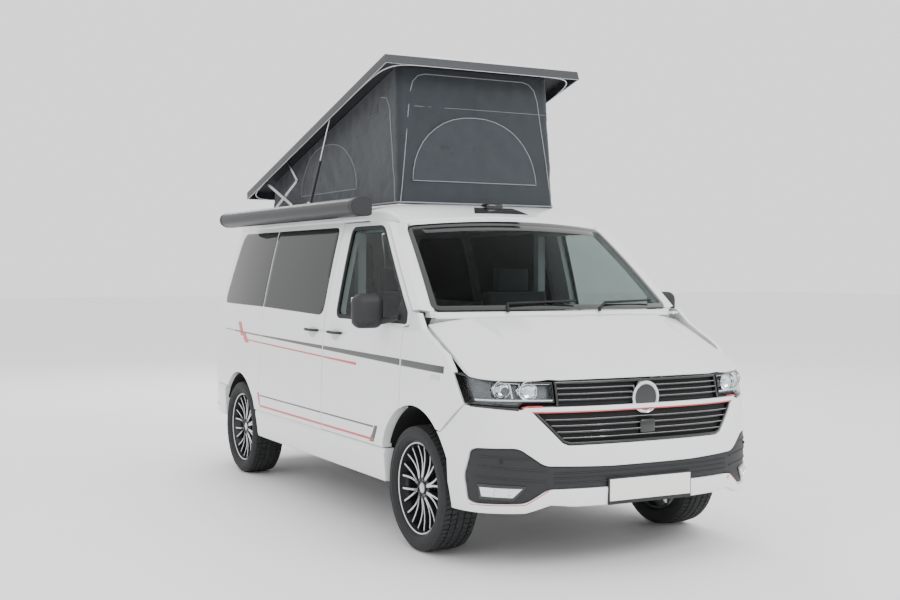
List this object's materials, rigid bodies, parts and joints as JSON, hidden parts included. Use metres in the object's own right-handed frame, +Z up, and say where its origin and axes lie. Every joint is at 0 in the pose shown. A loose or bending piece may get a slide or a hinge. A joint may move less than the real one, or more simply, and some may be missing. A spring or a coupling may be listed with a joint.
{
  "type": "camper van with lifting roof",
  "caption": "Camper van with a raised canvas sleeping roof, side awning, opening doors, bonnet and tailgate, steering front wheels and a fitted living space.",
  "frame": {"origin": "centre of the van's bounding box in plan, on the ground", "axes": "+Z up, -Y towards the nose, +X towards the van's left side"},
  "size_m": [2.2954, 4.904, 2.9049],
  "materials": {
    "white_paint": "gloss",
    "black_plastic": "satin",
    "dark_glass": "gloss",
    "tinted_glass": "gloss",
    "chassis_steel": "matt",
    "tyre_rubber": "matt",
    "alloy": "satin",
    "canvas_cloth": "matt",
    "anthracite_case": "satin",
    "lamp_lens": "gloss",
    "red_lens": "gloss",
    "seat_cloth": "matt",
    "furniture": "satin",
    "plate_white": "satin",
    "linkage_steel": "satin"
  },
  "bodies": {
    "body": {"floor_pan": "chassis_steel", "side_sills": "white_paint", "cab_frame": "white_paint", "left_side_panel": "white_paint", "right_side_panel": "white_paint", "sliding_door": "white_paint", "side_windows": "dark_glass", "windscreen": "tinted_glass", "roof_cap": "white_paint", "roof_panel": "white_paint", "front_wings": "white_paint", "front_bumper": "white_paint", "bumper_insert": "black_plastic", "grille": "black_plastic", "headlights": "lamp_lens", "number_plates": "plate_white", "rear_bumper": "white_paint", "tail_lights": "red_lens", "engine_block": "chassis_steel", "front_axle": "chassis_steel", "rear_axle": "chassis_steel", "exhaust": "chassis_steel", "awning": "anthracite_case", "canvas": "canvas_cloth", "dashboard": "black_plastic", "front_seats": "seat_cloth", "rear_bench": "seat_cloth", "kitchen_unit": "furniture", "wipers": "black_plastic"},
    "front_door_right": {"front_door_right": "white_paint", "door_glass_right": "tinted_glass", "mirror_right": "black_plastic"},
    "front_door_left": {"front_door_left": "white_paint", "door_glass_left": "tinted_glass", "mirror_left": "black_plastic"},
    "bonnet": {"bonnet": "white_paint"},
    "tailgate": {"tailgate": "white_paint", "tailgate_glass": "dark_glass"},
    "steering_wheel": {"steering_wheel": "black_plastic"},
    "hinge_arms": {"hinge_arms": "linkage_steel"},
    "roof": {"roof_shell": "white_paint"},
    "brace_arms": {"brace_arms": "linkage_steel"},
    "brace_links": {"brace_links": "linkage_steel"},
    "prop_tubes": {"prop_tubes": "linkage_steel"},
    "prop_rods": {"prop_rods": "linkage_steel"},
    "knuckle_right": {"knuckle_right": "chassis_steel"},
    "knuckle_left": {"knuckle_left": "chassis_steel"},
    "wheel_front_right": {"rim_front_right": "alloy", "tyre_front_right": "tyre_rubber"},
    "wheel_front_left": {"rim_front_left": "alloy", "tyre_front_left": "tyre_rubber"},
    "wheel_rear_right": {"rim_rear_right": "alloy", "tyre_rear_right": "tyre_rubber"},
    "wheel_rear_left": {"rim_rear_left": "alloy", "tyre_rear_left": "tyre_rubber"}
  },
  "joints": [
    {"name": "door_right_hinge", "type": "hinge", "parent": "body", "child": "front_door_right", "pos_m": [-0.922, -1.351, 0.9], "axis": [0, 0, 1], "range_deg": [0, 65]},
    {"name": "door_left_hinge", "type": "hinge", "parent": "body", "child": "front_door_left", "pos_m": [0.922, -1.351, 0.9], "axis": [0, 0, -1], "range_deg": [0, 65]},
    {"name": "bonnet_hinge", "type": "hinge", "parent": "body", "child": "bonnet", "pos_m": [0, -1.59, 1.3], "axis": [-1, 0, 0], "range_deg": [0, 50]},
    {"name": "tailgate_hinge", "type": "hinge", "parent": "body", "child": "tailgate", "pos_m": [0, 2.098, 1.894], "axis": [1, 0, 0], "range_deg": [0, 82]},
    {"name": "arm_hinge", "type": "hinge", "parent": "body", "child": "hinge_arms", "pos_m": [0, 0.997, 2.03], "axis": [1, 0, 0], "range_deg": [-19.61, 0]},
    {"name": "roof_tilt", "type": "hinge", "parent": "hinge_arms", "child": "roof", "pos_m": [0, 1.61122, 2.24871], "axis": [1, 0, 0], "range_deg": [0, 34.9], "deforming": ["canvas"]},
    {"name": "brace_hinge", "type": "hinge", "parent": "body", "child": "brace_arms", "pos_m": [0, 1.383, 2.029], "axis": [1, 0, 0], "range_deg": [0, 21.96]},
    {"name": "link_hinge", "type": "hinge", "parent": "brace_arms", "child": "brace_links", "pos_m": [0, 0.94893, 2.20394], "axis": [1, 0, 0], "range_deg": [-59.56, 0]},
    {"name": "prop_hinge", "type": "hinge", "parent": "body", "child": "prop_tubes", "pos_m": [0, 0.65, 2.031], "axis": [1, 0, 0], "range_deg": [0, 56.9]},
    {"name": "prop_slide", "type": "slide", "parent": "prop_tubes", "child": "prop_rods", "axis": [0, -0.5313, 0.8472], "range_m": [-0.31318, 0]},
    {"name": "steer_left", "type": "hinge", "parent": "body", "child": "knuckle_left", "pos_m": [0.745, -1.544, 0.348], "axis": [0, 0, 1], "range_deg": [-35, 35]},
    {"name": "steer_right", "type": "hinge", "parent": "body", "child": "knuckle_right", "pos_m": [-0.745, -1.544, 0.348], "axis": [0, 0, 1], "range_deg": [-35, 35]},
    {"name": "steering_column", "type": "hinge", "parent": "body", "child": "steering_wheel", "pos_m": [0.4, -1.074, 1.13], "axis": [0, 0.9063, 0.4226], "range_deg": [-490.01, 490.01]},
    {"name": "wheel_front_right_spin", "type": "hinge", "parent": "knuckle_right", "child": "wheel_front_right", "pos_m": [-0.815, -1.544, 0.348], "axis": [1, 0, 0], "continuous": true},
    {"name": "wheel_front_left_spin", "type": "hinge", "parent": "knuckle_left", "child": "wheel_front_left", "pos_m": [0.815, -1.544, 0.348], "axis": [1, 0, 0], "continuous": true},
    {"name": "wheel_rear_right_spin", "type": "hinge", "parent": "body", "child": "wheel_rear_right", "pos_m": [-0.815, 1.456, 0.348], "axis": [1, 0, 0], "continuous": true},
    {"name": "wheel_rear_left_spin", "type": "hinge", "parent": "body", "child": "wheel_rear_left", "pos_m": [0.815, 1.456, 0.348], "axis": [1, 0, 0], "continuous": true}
  ],
  "couplings": [
    {"joint": "arm_hinge", "follows": "roof_tilt", "ratio": -0.56161},
    {"joint": "brace_hinge", "follows": "roof_tilt", "ratio": 0.62894},
    {"joint": "link_hinge", "follows": "roof_tilt", "ratio": -1.7063},
    {"joint": "prop_hinge", "follows": "roof_tilt", "ratio": 1.63},
    {"joint": "prop_slide", "follows": "roof_tilt", "m_per_rad": -0.51399},
    {"joint": "steer_right", "follows": "steer_left", "ratio": 1},
    {"joint": "steering_column", "follows": "steer_left", "ratio": 14}
  ]
}
